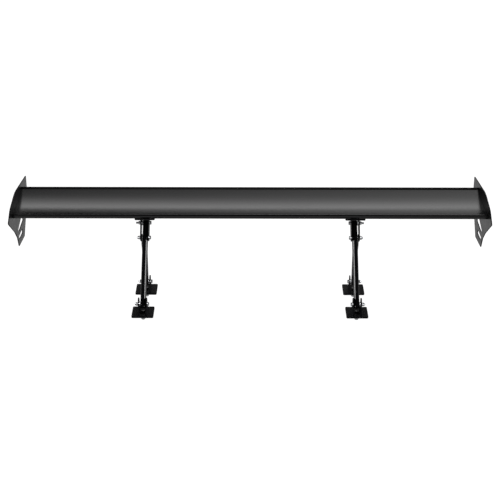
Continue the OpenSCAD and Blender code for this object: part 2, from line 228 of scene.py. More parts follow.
def addFloor(level):
    bpy.ops.mesh.primitive_plane_add(size=studio["floorSize"], location=(0, 0, level))
    floor = bpy.context.object
    floor.name = "studioFloor"
    material = bpy.data.materials.new("floorWhite")
    material.use_nodes = True
    shader = material.node_tree.nodes["Principled BSDF"]
    shader.inputs["Base Color"].default_value = studio["floorTone"]
    shader.inputs["Roughness"].default_value = studio["floorRoughness"]
    shader.inputs["Specular IOR Level"].default_value = 0.0
    shader.inputs["Emission Color"].default_value = (1, 1, 1, 1)
    paint = Paint(material.node_tree)
    seen = paint.add("ShaderNodeLightPath", {}, {}, "Is Camera Ray")
    glow = studio["floorBounce"] + seen * (studio["floorGlow"] - studio["floorBounce"])
    paint.plug(shader.inputs["Emission Strength"], glow)
    floor.data.materials.append(material)


bpy.context.scene.view_settings.view_transform = "Standard"
addCamera()
addSurroundings()
addFloor(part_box("left_front_deck_bolt")[0].z - studio["floorDrop"])
panelTargets = {}
for kind, panel in studio["panels"].items():
    for side, sign in (("left", -1), ("right", 1)):
        place = -sign if panel.get("crossed") else sign
        panelTargets[kind, side] = addPanel(side + kind.capitalize() + "Panel", panel, place)
print("camera and studio are set")


# ---- finishes ----

def newFinish(name, **fixed):
    material = bpy.data.materials.new(name)
    material.use_nodes = True
    shader = material.node_tree.nodes["Principled BSDF"]
    for socket, value in fixed.items():
        shader.inputs[socket.replace("_", " ")].default_value = value
    return material, Paint(material.node_tree)


def feed(material, paint, **wires):
    for socket, value in wires.items():
        paint.plug(material.node_tree.nodes["Principled BSDF"].inputs[socket.replace("_", " ")], value)
    return material


def bladeFinish():
    material, paint = newFinish("bladeSatin", Specular_IOR_Level=0.5)
    lines = paint.noise(1.0, detail=4, roughness=0.6, stretch=(1.2, 900, 900))    # draw lines along the span
    clouds = paint.noise(7)
    return feed(material, paint,
                Base_Color=paint.shades(clouds, (0.005, 0.005, 0.006), (0.008, 0.008, 0.009)),
                Roughness=0.13 + lines * 0.06 + clouds * 0.05,
                Normal=paint.bump(lines, strength=0.05, distance=0.0001))


def plateFinish():
    material, paint = newFinish("plateSatin", Specular_IOR_Level=0.08)
    grain = paint.noise(900, detail=2)
    clouds = paint.noise(40, detail=5, roughness=0.6)
    return feed(material, paint,
                Base_Color=paint.shades(clouds, (0.008, 0.008, 0.009), (0.017, 0.017, 0.018)),
                Roughness=0.26 + clouds * 0.2,
                Normal=paint.bump(grain, strength=0.12, distance=0.0002))


def powderFinish(name, tone, gloss, roughness, texture, depth):
    material, paint = newFinish(name, Specular_IOR_Level=gloss)
    orangePeel = paint.noise(texture, detail=2)
    clouds = paint.noise(25, detail=4)
    light = tuple(1.8 * value for value in tone)
    return feed(material, paint,
                Base_Color=paint.shades(clouds, tone, light),
                Roughness=roughness + clouds * 0.12,
                Normal=paint.bump(orangePeel, strength=0.25, distance=depth))


def platedFinish(name, tone, metallic=1.0):
    material, paint = newFinish(name, Metallic=metallic)
    clouds = paint.noise(160, detail=4)
    scratches = paint.noise(1, stretch=(2600, 2600, 300))
    dark = tuple(0.75 * value for value in tone)
    return feed(material, paint,
                Base_Color=paint.shades(clouds, dark, tone),
                Roughness=0.18 + clouds * 0.16 + scratches * 0.06,
                Normal=paint.bump(scratches, strength=0.1, distance=0.0001))


def rubberFinish():
    material, paint = newFinish("padRubber", Specular_IOR_Level=0.3)
    specks = paint.noise(700, detail=4)
    return feed(material, paint,
                Base_Color=paint.shades(specks, (0.006, 0.006, 0.006), (0.013, 0.013, 0.013)),
                Roughness=0.72 + specks * 0.15,
                Normal=paint.bump(specks, strength=0.35, distance=0.0003))


finishes = {
    "blade_black": bladeFinish(),
    "plate_black": plateFinish(),
    "screw_black": platedFinish("blackOxide", (0.02, 0.02, 0.022), metallic=0.7),
    "bracket_black": powderFinish("bracketCoat", (0.007, 0.007, 0.008), gloss=0.35, roughness=0.17,
                                  texture=1500, depth=0.0001),
    "tube_black": powderFinish("tubeCoat", (0.004, 0.004, 0.005), gloss=0.5, roughness=0.07,
                               texture=900, depth=0.00005),
    "foot_black": powderFinish("footCoat", (0.004, 0.004, 0.005), gloss=0.1, roughness=0.5,
                               texture=1500, depth=0.0003),
    "pad_rubber": rubberFinish(),
    "spacer_zinc": platedFinish("spacerZinc", (0.62, 0.63, 0.65)),
    "fastener_zinc": platedFinish("fastenerZinc", (0.76, 0.77, 0.79)),
}
slotOf = {part["node"]: part["material_slot"] for part in frame["record"]["subparts"]}
bodyOf = {node: body for body, nodes in frame["record"]["behaviour"]["bodies"].items() for node in nodes}
for nodeName, node in frame["nodes"].items():
    node.data.materials.clear()
    node.data.materials.append(finishes[slotOf[nodeName]])
print("finishes are mixed")


# ---- modelling helpers ----

seam = 1e-6    # points closer than this become one
needle = 0.0001    # radius where the end of a turned part is closed


def startClean():
    if bpy.context.object and bpy.context.object.mode != "OBJECT":
        bpy.ops.object.mode_set(mode="OBJECT")
    bpy.ops.object.select_all(action="DESELECT")


def workOn(piece):
    startClean()
    piece.select_set(True)
    bpy.context.view_layer.objects.active = piece


def tidy(piece, angle=35):    # closes seams, turns faces outwards and smooths edges flatter than the angle
    workOn(piece)
    bpy.ops.object.mode_set(mode="EDIT")
    bpy.ops.mesh.select_all(action="SELECT")
    bpy.ops.mesh.remove_doubles(threshold=seam)
    bpy.ops.mesh.normals_make_consistent(inside=False)
    bpy.ops.object.mode_set(mode="OBJECT")
    bpy.ops.object.shade_smooth_by_angle(angle=math.radians(angle))
    return piece


def settle(piece, matrix):    # moves a piece into the wing's frame and leaves its object at the origin
    piece.data.transform(matrix)
    piece.matrix_world = Matrix.Identity(4)
    return piece


def joined(name, pieces):
    startClean()
    for piece in pieces:
        piece.select_set(True)
    bpy.context.view_layer.objects.active = pieces[0]
    bpy.ops.object.join()
    pieces[0].name = name
    return pieces[0]


def arc(centre, radius, start, end, steps):    # angles in degrees
    turns = [math.radians(start + (end - start) * i / steps) for i in range(steps + 1)]
    return [(centre[0] + radius * math.cos(t), centre[1] + radius * math.sin(t)) for t in turns]


def circle(centre, radius, steps=48):
    return arc(centre, radius, 0, 360 - 360 / steps, steps - 1)


def rounded(corners, step=5):    # corners (x, y, radius) become arcs with a point every so many degrees
    points = []
    for i, (x, y, radius) in enumerate(corners):
        here = Vector((x, y))
        before = (Vector(corners[i - 1][:2]) - here).normalized()
        after = (Vector(corners[(i + 1) % len(corners)][:2]) - here).normalized()
        half = before.angle(after) / 2
        centre = here + (before + after).normalized() * radius / math.sin(half)
        first = here + before * radius / math.tan(half) - centre
        last = here + after * radius / math.tan(half) - centre
        sweep = first.angle_signed(last)
        steps = max(3, math.ceil(abs(math.degrees(sweep)) / step))
        for k in range(steps + 1):
            points.append(tuple(centre + Matrix.Rotation(-sweep * k / steps, 2) @ first))
    return points


def rectangle(width, length, radius):
    return rounded([(width / 2, length / 2, radius), (-width / 2, length / 2, radius),
                    (-width / 2, -length / 2, radius), (width / 2, -length / 2, radius)])


def crisp(piece):    # keeps flat faces flat beside their rounded edges
    workOn(piece)
    bpy.ops.object.modifier_add(type="WEIGHTED_NORMAL")
    piece.modifiers[-1].keep_sharp = True
    bpy.ops.object.modifier_apply(modifier=piece.modifiers[-1].name)
    return piece


def cutSheet(name, outlines, thickness, edge, steps=2):
    # a sheet on the XY plane with rounded edges: the first outline is the rim, the others are holes
    startClean()
    bpy.ops.curve.primitive_bezier_circle_add()
    sheet = bpy.context.object
    sheet.name = name
    curve = sheet.data
    curve.dimensions = "2D"
    curve.fill_mode = "BOTH"
    curve.splines.clear()
    for outline in outlines:
        spline = curve.splines.new("POLY")
        spline.points.add(len(outline) - 1)
        for point, (x, y) in zip(spline.points, outline):
            point.co = (x, y, 0, 1)
        spline.use_cyclic_u = True
    curve.extrude = thickness / 2 - edge
    curve.bevel_depth = edge
    curve.bevel_resolution = steps
    curve.offset = -edge
    bpy.ops.object.convert(target="MESH")
    settle(sheet, Matrix.Translation((0, 0, thickness / 2)))
    return crisp(tidy(sheet))


def onSide(x):    # stands a sheet up in the side view: its thickness runs outwards from x
    turn = Matrix(((0, 0, 1, 0), (1, 0, 0, 0), (0, 1, 0, 0), (0, 0, 0, 1)))
    return Matrix.Translation((x, 0, 0)) @ turn


def turnPart(name, rows, around=48, loop=False, smooth=30):
    # rows of (radius, height) about Z, or of whole points; a row may be a function of the angle.
    # The ends are closed, unless the rows come back to their start in a loop.
    startClean()
    bpy.ops.mesh.primitive_grid_add(x_subdivisions=around, y_subdivisions=len(rows) - 1, size=1)
    part = bpy.context.object
    part.name = name
    for vertex in part.data.vertices:
        angle = (vertex.co.x + 0.5) * 2 * math.pi
        row = rows[round((vertex.co.y + 0.5) * (len(rows) - 1))]
        spot = row(angle) if callable(row) else row
        if len(spot) == 2:
            radius, height = spot
            spot = (radius * math.cos(angle), radius * math.sin(angle), height)
        vertex.co = spot
    workOn(part)
    bpy.ops.object.mode_set(mode="EDIT")
    bpy.ops.mesh.select_all(action="SELECT")
    bpy.ops.mesh.remove_doubles(threshold=seam)
    if not loop:
        bpy.ops.mesh.select_all(action="DESELECT")
        bpy.ops.mesh.select_non_manifold()
        bpy.ops.mesh.fill_holes(sides=0)
    bpy.ops.object.mode_set(mode="OBJECT")
    return tidy(part, smooth)


def hexRow(across, height, chamfer=0.0, slope=0.0):
    # a hexagon row; where its corners pass the chamfer circle it falls away at the slope
    def row(angle):
        turn = (angle % (math.pi / 3)) - math.pi / 6
        radius = across / 2 / math.cos(turn)
        return radius, height - slope * max(0.0, radius - chamfer)
    return row


def copyOf(piece, name, matrix, flip=False):    # a mirrored copy is flipped, so that it isn't inside out
    twin = piece.copy()
    twin.data = piece.data.copy()
    twin.name = name
    bpy.context.scene.collection.objects.link(twin)
    twin.data.transform(matrix)
    if flip:
        twin.data.flip_normals()
        if twin.data.has_custom_normals:
            workOn(twin)
            bpy.ops.mesh.customdata_custom_splitnormals_clear()
            crisp(twin)
    return twin


def fit(piece, finish, *nodes):    # hands a piece the place and the finish of the CAD nodes it stands for
    piece.data.materials.clear()
    piece.data.materials.append(finishes[finish])
    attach(piece, bodyOf[nodes[0]])
    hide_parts(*nodes)
    side = nodes[0].split("_")[0]
    for kind in studio["litBy"].get(finish, ()):
        panelTargets[kind, side].objects.link(piece)


def fitPair(piece, name, finish, *nodes):
    # the piece is built for the right hand side, and its nodes are given without their side
    mirror = Matrix.Diagonal((-1, 1, 1, 1))
    left = copyOf(piece, "left" + name, mirror, flip=True)
    piece.name = "right" + name
    fit(piece, finish, *("right_" + node for node in nodes))
    fit(left, finish, *("left_" + node for node in nodes))


def discard(piece):
    bpy.data.objects.remove(piece)


# ---- wing blade ----

blade = {
    "halfSpan": 0.673,
    "front": (0.0832, 0.227),       # foremost point of the nose, y and z; the rest is behind and above it
    "nose": 0.0055,                 # radius
    "chin": 0.014,                  # radius between the nose and the flat floor
    "floor": -0.0105,
    "floorEnd": 0.075,              # from here on the underside rises to the tail
    "dip": (0.066, 0.0015),         # lowest point of the hollow top
    "tail": (0.170, 0.008),
    "wall": 0.002,
    "lip": {"thick": 0.0026, "height": 0.0039, "fillet": 0.00195},
    "cells": ((0.0158, 0.061), (0.063, 0.107), (0.109, 0.156)),    # fronts and backs of the chambers
    "edge": 0.0003,
}


def bladeCurves():    # circles of the section: hollow top, rising underside and chin
    dipBack, dipUp = blade["dip"]
    nose, chin, floor = blade["nose"], blade["chin"], blade["floor"]
    top = ((dipBack - nose) ** 2 + dipUp ** 2 - nose ** 2) / (2 * (nose - dipUp))
    rise, run = blade["tail"][1] - floor, blade["tail"][0] - blade["floorEnd"]
    rear = (run ** 2 + rise ** 2) / (2 * rise)
    chinBack = nose + math.sqrt((chin - nose) ** 2 - (chin + floor) ** 2)
    return {
        "top": ((dipBack, dipUp + top), top),
        "rear": ((blade["floorEnd"], floor + rear), rear),
        "chin": ((chinBack, floor + chin), chin),
    }


def angleAt(curve, back, inset=0.0):    # angle of the lower point of a circle this far back
    (centre, radius) = curve
    return -math.degrees(math.acos((back - centre[0]) / (radius + inset)))


def bladeOutline():
    curves = bladeCurves()
    (hub, top), (rearHub, rear), (chinHub, chin) = curves["top"], curves["rear"], curves["chin"]
    nose, lip, tail = blade["nose"], blade["lip"], blade["tail"][0]
    crest = math.degrees(math.atan2(hub[1], hub[0] - nose))
    under = math.degrees(math.atan2(-chinHub[1], nose - chinHub[0]))
    filletBack = tail - lip["thick"] - lip["fillet"]
    fillet = (filletBack, hub[1] - math.sqrt((top - lip["fillet"]) ** 2 - (filletBack - hub[0]) ** 2))
    topEnd = math.degrees(math.atan2(fillet[1] - hub[1], fillet[0] - hub[0]))
    lipUp = hub[1] - math.sqrt(top ** 2 - (tail - hub[0]) ** 2) + lip["height"] - lip["thick"] / 2
    return (arc(hub, top, crest - 180, topEnd, steps=60)
            + arc(fillet, lip["fillet"], topEnd, 0, steps=10)[1:]
            + arc((tail - lip["thick"] / 2, lipUp), lip["thick"] / 2, 180, 0, steps=12)
            + arc(rearHub, rear, angleAt(curves["rear"], tail), -90, steps=36)
            + arc(chinHub, chin, -90, under, steps=16)
            + arc((nose, 0), nose, under, crest - 360, steps=32)[1:-1])


def bladeCell(front, back):    # one chamber between the webs
    curves = bladeCurves()
    wall = blade["wall"]
    (hub, top), (rearHub, rear) = curves["top"], curves["rear"]
    floor = blade["floor"] + wall
    turns = [angleAt(curves["top"], end, wall) for end in (front, back)]
    lid = arc(hub, top + wall, *turns, steps=16)
    if back <= blade["floorEnd"]:
        return lid + [(back, floor), (front, floor)]
    start = max(front, blade["floorEnd"])
    turns = [angleAt(curves["rear"], end, -wall) for end in (back, start)]
    base = arc(rearHub, rear - wall, *turns, steps=12)
    return lid + base + ([(front, floor)] if front < blade["floorEnd"] else [])


def makeBlade():
    profile = cutSheet("wingBlade", [bladeOutline()] + [bladeCell(*cell) for cell in blade["cells"]],
                       2 * blade["halfSpan"], blade["edge"], steps=1)
    y, z = blade["front"]
    settle(profile, Matrix.Translation((0, y, z)) @ onSide(-blade["halfSpan"]))
    fit(profile, "blade_black", "wing_blade")


makeBlade()
print("blade is made")


# ---- end plates and their screws ----

endPlate = {
    "inner": 0.673,
    "thick": 0.003,
    "edge": 0.0004,
    # corners as y, z and radius
    "outline": [(0.0315, 0.227, 0.004), (0.070, 0.253, 0.060), (0.158, 0.269, 0.150), (0.3335, 0.245, 0.004),
                (0.3315, 0.211, 0.014), (0.272, 0.126, 0.014), (0.238, 0.090, 0.005), (0.1505, 0.0995, 0.002),
                (0.137, 0.133, 0.025), (0.108, 0.165, 0.045)],
    "slots": ([(0.149, 0.150, 0.002), (0.168, 0.1415, 0.004), (0.245, 0.144, 0.003), (0.207, 0.1645, 0.004)],
              [(0.155, 0.128, 0.002), (0.162, 0.1165, 0.003), (0.217, 0.1135, 0.002), (0.210, 0.128, 0.003)]),
    "screws": ((0.0092, -0.0034), (0.066, -0.0046), (0.122, -0.0006)),    # behind and above the blade's front
    "screwHole": 0.0027,
}
buttonScrew = {
    "tipAt": -0.018,           # heights over the head's seat
    "threadFrom": -0.017,
    "threadTo": -0.0035,
    "tip": 0.0014,
    "core": 0.0018,
    "shank": 0.0021,
    "pitch": 0.0008,
    "head": 0.0046,
    "headHeight": 0.0022,
    "bevel": 0.0003,
    "brim": 0.0004,            # where the dome starts
    "fullness": 0.7,
    "domeTurns": range(0, 65, 8),
    "socket": 0.003,
    "socketMouth": 0.0034,
    "socketFloor": 0.0006,
}


def makeEndPlates():
    y, z = blade["front"]
    outlines = [rounded(outline) for outline in (endPlate["outline"], *endPlate["slots"])]
    for back, up in endPlate["screws"]:
        outlines.append(circle((y + back, z + up), endPlate["screwHole"], steps=32))
    plate = cutSheet("endPlate", outlines, endPlate["thick"], endPlate["edge"])
    settle(plate, onSide(endPlate["inner"]))
    fitPair(plate, "EndPlate", "plate_black", "end_plate")


def makeEndPlateScrews():
    head, shank, socket = buttonScrew["head"], buttonScrew["shank"], buttonScrew["socket"]
    brim, bevel = buttonScrew["brim"], buttonScrew["bevel"]
    start, end = buttonScrew["threadFrom"], buttonScrew["threadTo"]
    dome = []
    for turn in buttonScrew["domeTurns"]:
        angle = math.radians(turn)
        dome.append((head * math.cos(angle) ** buttonScrew["fullness"],
                     brim + (buttonScrew["headHeight"] - brim) * math.sin(angle)))
    top = dome[-1][1]
    rows = [(needle, buttonScrew["tipAt"]), (buttonScrew["tip"], buttonScrew["tipAt"]), (shank, start)]
    rows += threadRows(buttonScrew["core"], shank, buttonScrew["pitch"], start, end)
    rows += [(shank, 0), (head - bevel, 0), (head, bevel)] + dome
    rows += [hexRow(buttonScrew["socketMouth"], top), hexRow(socket, top - bevel),
             hexRow(socket, buttonScrew["socketFloor"])]
    screw = turnPart("buttonScrew", rows)
    seat = endPlate["inner"] + endPlate["thick"]
    y, z = blade["front"]
    outwards = Matrix.Rotation(math.pi / 2, 4, "Y")
    screws = [copyOf(screw, "endPlateScrew", Matrix.Translation((seat, y + back, z + up)) @ outwards)
              for back, up in endPlate["screws"]]
    discard(screw)
    fitPair(joined("endPlateScrews", screws), "EndPlateScrews", "screw_black", "end_plate_screws")


def threadRows(core, crest, pitch, start, end, perTurn=6):
    # rows of a cut thread between two heights; it fades out at both ends
    count = round((end - start) / pitch * perTurn)

    def threadRow(height):
        def row(angle):
            phase = (height / pitch - angle / (2 * math.pi)) % 1
            tooth = 1 - abs(2 * phase - 1)
            fade = min(1, (height - start) / pitch, (end - height) / pitch)
            return crest - (crest - core) * tooth * max(0, fade), height
        return row

    return [threadRow(start + (end - start) * i / count) for i in range(count + 1)]


makeEndPlates()
makeEndPlateScrews()
print("end plates are made")


# ---- stands ----

stand = {
    "x": 0.299,
    "earOuter": 0.0125,        # half the width over the ears
    "sheet": 0.003,
    "frontPivot": (-0.067, 0.029),
    "rearPivot": (0.067, 0.029),
    "topPivot": (0.107, 0.197),
    "boltPitch": 0.045,        # from the top bolt down to the lock bolt
    "bore": 0.00307,
}
tube = {
    "radius": 0.008,
    "wall": 0.0012,
    "over": 0.010,             # length past a pivot
    "shift": 0.00135,          # the front tube sits this far inwards, the rear one outwards
    "ease": 0.0003,
    "rings": 6,
    "around": 64,
}
lug = {                        # the rear leg's upper end, pressed flat
    "start": 0.00695,          # its inner face, and that of the spacers
    "thick": 0.0024,
    "half": 0.0105,
    "flat": 0.020,             # from its root to the pivot
    "press": 0.026,            # length over which the tube goes flat
    "square": 0.62,            # how far the round section turns square
    "rings": 14,
    "overlap": 0.001,
    "inside": 0.98,            # the neck's end just inside the tube
    "core": 0.5,               # the neck's hidden ends close at this share of its section
    "root": 0.0005,
    "flatTop": 0.0001,         # left between the two round corners
    "edge": 0.0005,
}
bracket = {
    "flange": 0.057,
    "flangeCorner": 0.003,
    "flangeFront": 0.0882,
    "flangeTop": 0.2165,
    "holes": [(x, y) for x in (-0.0205, 0.0205) for y in (0.1052, 0.1332)],
    "holeRadius": 0.0028,
    "earHalf": 0.013,
    "earEnd": 0.006,           # metal below the slot
    "earFront": 0.002,         # from the flange's ends to the ear's
    "earBack": 0.007,
    "earSunk": 0.0008,         # how deep the ear's top is in the flange
    "shoulder": 0.004,
    "earRadii": (0.0005, 0.009, 0.009, 0.014, 0.0005),
    "slotHalf": 0.0032,
    "slotTurn": 6.4,           # degrees each way
    "boltHole": 0.0033,
    "weldFront": 0.008,        # from the flange's ends to the weld's
    "weldBack": 0.010,
    "edge": 0.0004,
}
weld = {"radius": 0.0014, "pitch": 0.0016, "ripple": 0.14, "ringsPerRipple": 4, "end": 0.0002, "around": 12}

legRun = Vector(stand["topPivot"]) - Vector(stand["frontPivot"])
legWay = legRun.normalized()
lockPivot = Vector(stand["topPivot"]) - legWay * stand["boltPitch"]


def alongLeg(down, across):    # a point down the front leg from the top pivot, and across it
    return Vector(stand["topPivot"]) - down * legWay + across * Vector((-legWay.y, legWay.x))


def slotOutline():    # a slot that follows the lock bolt's swing about the top bolt
    pivot, pitch, half, turn = stand["topPivot"], stand["boltPitch"], bracket["slotHalf"], bracket["slotTurn"]
    middle = math.degrees(math.atan2(-legWay.y, -legWay.x))
    first, last = middle - turn, middle + turn
    ends = [Vector(arc(pivot, pitch, end, end, steps=1)[0]) for end in (first, last)]
    return (arc(pivot, pitch + half, first, last, steps=8)
            + arc(ends[1], half, last, last + 180, steps=10)[1:-1]
            + arc(pivot, pitch - half, last, first, steps=8)
            + arc(ends[0], half, first - 180, first, steps=10)[1:-1])


def weldedEars(name, outlines, edge, weldStart, weldEnd, height):    # two ears with weld beads on both faces
    sheet = stand["sheet"]
    pieces = []
    for x in (-stand["earOuter"], stand["earOuter"] - sheet):
        pieces.append(settle(cutSheet(name, outlines, sheet, edge), onSide(x)))
        for side in (-1, 1):
            face = x + sheet / 2 + side * sheet / 2
            pieces.append(weldBead((face, weldStart, height), (face, weldEnd, height)))
    return pieces


def weldBead(start, end):    # a bead of overlapping ripples between two points
    run = Vector(end) - Vector(start)
    radius, ripple, rings = weld["radius"], weld["ripple"], weld["ringsPerRipple"]
    steps = round(run.length / weld["pitch"]) * rings
    rows = [(weld["end"], 0)]
    for i in range(steps + 1):
        swell = abs(math.sin(math.pi * i / rings))
        rows.append((radius * (1 - ripple + ripple * swell), run.length * i / steps))
    rows.append((weld["end"], run.length))
    bead = turnPart("weldBead", rows, around=weld["around"])
    return settle(bead, Matrix.Translation(start) @ run.to_track_quat("Z", "Y").to_matrix().to_4x4())


def makeTopBrackets():
    sheet, half = stand["sheet"], bracket["earHalf"]
    front, top, size = bracket["flangeFront"], bracket["flangeTop"], bracket["flange"]
    middle, back = front + size / 2, front + size
    outlines = [[(x, y + middle) for x, y in rectangle(size, size, bracket["flangeCorner"])]]
    outlines += [circle(spot, bracket["holeRadius"], steps=24) for spot in bracket["holes"]]
    flange = cutSheet("flange", outlines, sheet, bracket["edge"])
    settle(flange, Matrix.Translation((0, 0, top - sheet)))
    end = stand["boltPitch"] + bracket["slotHalf"] + bracket["earEnd"]
    earTop = top - bracket["earSunk"]
    corners = [(front + bracket["earFront"], earTop), alongLeg(end, half), alongLeg(end, -half),
               alongLeg(bracket["shoulder"], -half), (back - bracket["earBack"], earTop)]
    ear = rounded([(*corner, radius) for corner, radius in zip(corners, bracket["earRadii"])])
    boltHole = circle(stand["topPivot"], bracket["boltHole"])
    ears = weldedEars("ear", [ear, boltHole, slotOutline()], bracket["edge"],
                      front + bracket["weldFront"], back - bracket["weldBack"], top - sheet)
    whole = settle(joined("topBracket", [flange] + ears), Matrix.Translation((stand["x"], 0, 0)))
    fitPair(whole, "TopBracket", "bracket_black", "top_bracket")


def tubeAlong(name, length, start):    # a tube on Z with eased ends
    radius, ease, rings = tube["radius"], tube["ease"], tube["rings"]
    inner = radius - tube["wall"]
    rows = [(inner, start + ease), (inner + ease, start), (radius - ease, start), (radius, start + ease)]
    rows += [(radius, start + ease + (length - 2 * ease) * i / rings) for i in range(1, rings + 1)]
    rows += [(radius - ease, start + length), (inner + ease, start + length), (inner, start + length - ease),
             (inner, start + ease)]
    return turnPart(name, rows, around=tube["around"], loop=True)


def drill(piece, heights):    # bores across a leg for its pivot bolts, longer than the leg is thick
    for height in heights:
        bpy.ops.mesh.primitive_cylinder_add(vertices=40, radius=stand["bore"], depth=5 * tube["radius"],
                                            location=(0, 0, height), rotation=(0, math.pi / 2, 0))
        cutter = bpy.context.object
        workOn(piece)
        bpy.ops.object.modifier_add(type="BOOLEAN")
        piece.modifiers[-1].object = cutter
        piece.modifiers[-1].operation = "DIFFERENCE"
        bpy.ops.object.modifier_apply(modifier=piece.modifiers[-1].name)
        discard(cutter)
    return tidy(piece, 30)


def leanTo(pivot, way, x):    # from a leg's own axis to its place in the stand
    angle = math.atan2(way.y, way.x) - math.pi / 2
    return Matrix.Translation((stand["x"] + x, pivot[0], pivot[1])) @ Matrix.Rotation(angle, 4, "X")


def makeFrontLegs():
    over = tube["over"]
    leg = tubeAlong("frontLeg", legRun.length + 2 * over, -over)
    drill(leg, (0, legRun.length - stand["boltPitch"], legRun.length))
    settle(leg, leanTo(stand["frontPivot"], legWay, -tube["shift"]))
    fitPair(leg, "FrontLeg", "tube_black", "front_leg")


def makeNeck(mouth):    # the tube's section goes from round to flat above its mouth
    radius, thick, rings = tube["radius"], lug["thick"], lug["rings"]
    flatX = lug["start"] - tube["shift"]

    def squeezed(share, height, shrink=1.0):    # flattens towards the outer side
        ease = share * share * (3 - 2 * share)
        deep = radius + (thick / 2 - radius) * ease
        wide = radius + (lug["half"] - radius) * ease
        middle = (flatX + thick / 2) * ease
        power = 1 - lug["square"] * ease

        def row(angle):
            c, s = math.cos(angle), math.sin(angle)
            x = middle + shrink * deep * math.copysign(abs(c) ** power, c)
            y = shrink * wide * math.copysign(abs(s) ** power, s)
            return x, y, height
        return row

    low, high = mouth - lug["overlap"], mouth + lug["press"] + lug["overlap"]
    rows = [squeezed(0, low, lug["core"]), squeezed(0, low, lug["inside"])]
    rows += [squeezed(i / rings, mouth + lug["press"] * i / rings) for i in range(rings + 1)]
    rows += [squeezed(1, high), squeezed(1, high, lug["core"])]
    return turnPart("neck", rows, around=tube["around"], smooth=40)


def makeRearLegs():
    run = lockPivot - Vector(stand["rearPivot"])
    over, half = tube["over"], lug["half"]
    mouth = run.length - lug["flat"] - lug["press"]
    shaft = drill(tubeAlong("rearLeg", mouth + over, -over), (0,))
    neck = makeNeck(mouth)
    low, high = run.length - lug["flat"] + lug["root"], run.length + half
    corner = half - lug["flatTop"]
    outline = rounded([(-half, low, lug["root"]), (half, low, lug["root"]),
                       (half, high, corner), (-half, high, corner)])
    flat = cutSheet("lug", [outline, circle((0, run.length), stand["bore"])], lug["thick"], lug["edge"])
    settle(flat, onSide(lug["start"] - tube["shift"]))
    leg = joined("rearLeg", [shaft, neck, flat])
    settle(leg, leanTo(stand["rearPivot"], run.normalized(), tube["shift"]))
    fitPair(leg, "RearLeg", "tube_black", "rear_leg")


makeTopBrackets()
makeFrontLegs()
makeRearLegs()
print("brackets and legs are made")


# ---- feet ----

foot = {
    "plate": (0.061, 0.058),
    "corner": 0.004,
    "pad": 0.002,
    "padEdge": 0.0005,
    "studHole": 0.00335,
    "padHole": 0.0044,
    "pivotHeight": 0.024,
    "earTop": 0.012,
    "earRise": 0.007,          # middle of the round top above the pivot
    "earFoot": 0.022,
    "earStep": 0.005,
    "earSunk": 0.0005,         # how deep the ear's foot is in the plate
    "weldEnd": 0.001,          # from the ear's ends to the weld's
    "edge": 0.0004,
}


def earOutline(pivot):    # round top, tapering down to the plate
    base = foot["pad"] + stand["sheet"]
    high, top = foot["pivotHeight"] + foot["earRise"], foot["earTop"]
    half, step, low = foot["earFoot"], foot["earStep"], -foot["earSunk"]
    reach = Vector((half, high - step))
    swing = math.degrees(math.atan2(reach.y, reach.x) + math.asin(top / reach.length))
    dome = arc((0, high), top, swing - 90, 270 - swing, steps=24)
    points = [(-half, low), (half, low), (half, step)] + dome + [(-half, step)]
    return [(y + pivot[0], z + base) for y, z in points]


def makeFeet(end, pivot):
    sheet, base, reach = stand["sheet"], foot["pad"], foot["earFoot"] - foot["weldEnd"]
    y = pivot[0]
    outline = [(x, along + y) for x, along in rectangle(*foot["plate"], foot["corner"])]
    plate = cutSheet("footPlate", [outline, circle((0, y), foot["studHole"])], sheet, foot["edge"])
    settle(plate, Matrix.Translation((0, 0, base)))
    ears = weldedEars("footEar", [earOutline(pivot), circle(pivot, bracket["boltHole"])], foot["edge"],
                      y - reach, y + reach, base + sheet)
    whole = settle(joined("foot", [plate] + ears), Matrix.Translation((stand["x"], 0, 0)))
    fitPair(whole, end + "Foot", "foot_black", end.lower() + "_foot")
    pad = cutSheet("pad", [outline, circle((0, y), foot["padHole"])], foot["pad"], foot["padEdge"])
    settle(pad, Matrix.Translation((stand["x"], 0, 0)))
    fitPair(pad, end + "Pad", "pad_rubber", end.lower() + "_pad")


for end in ("Front", "Rear"):
    makeFeet(end, stand[end.lower() + "Pivot"])
print("feet are made")


# ---- bolts, nuts, washers and spacers ----

bolt = {
    "shank": 0.003,
    "core": 0.00255,
    "pitch": 0.001,
    "tip": 0.0021,
    "taper": 0.0006,           # height of the tip's cone
    "taperTop": 0.00265,
    "across": 0.010,
    "rim": 0.0048,             # the corners are cut away outside this radius
    "slope": 0.5,              # and fall this steeply
    "head": 0.004,
    "ease": 0.0003,
    "ridge": 0.00005,          # around the dish in the head
    "ridgeIn": 0.0004,
    "dish": 0.0002,
    "dishIn": 0.001,
    "longBolt": 0.040,
    "shortBolt": 0.036,
    "thread": 0.016,
}
nut = {
    "lock": 0.006,             # heights
    "plain": 0.005,
    "collar": 0.0014,
    "bore": 0.00275,
    "mouth": 0.0031,           # radius of the bore's ends
    "face": 0.0046,            # and of the flat around them
    "mouthEase": 0.0003,
    "topEase": 0.0004,
    "collarSide": 0.0044,
    "collarFace": 0.0039,
    "collarMouth": 0.00335,
    "collarEase": 0.0006,
    "film": 0.00002,           # between a nut and its washer
}
washer = {"radius": 0.006, "hole": 0.0033, "thick": 0.0012, "ease": 0.00015}
spacer = {"radius": 0.007, "ease": 0.0003}
deckBolt = {
    "stud": 0.022,             # length below the plate
    "seat": 0.0144,            # down to its nut and washer, where the thread gets thinner
    "tip": 0.002,
    "depth": 0.0003,           # of the thinner thread
    "threadEnd": 0.001,
    "neck": 0.00325,
    "neckEase": 0.0002,
    "face": 0.0046,
}
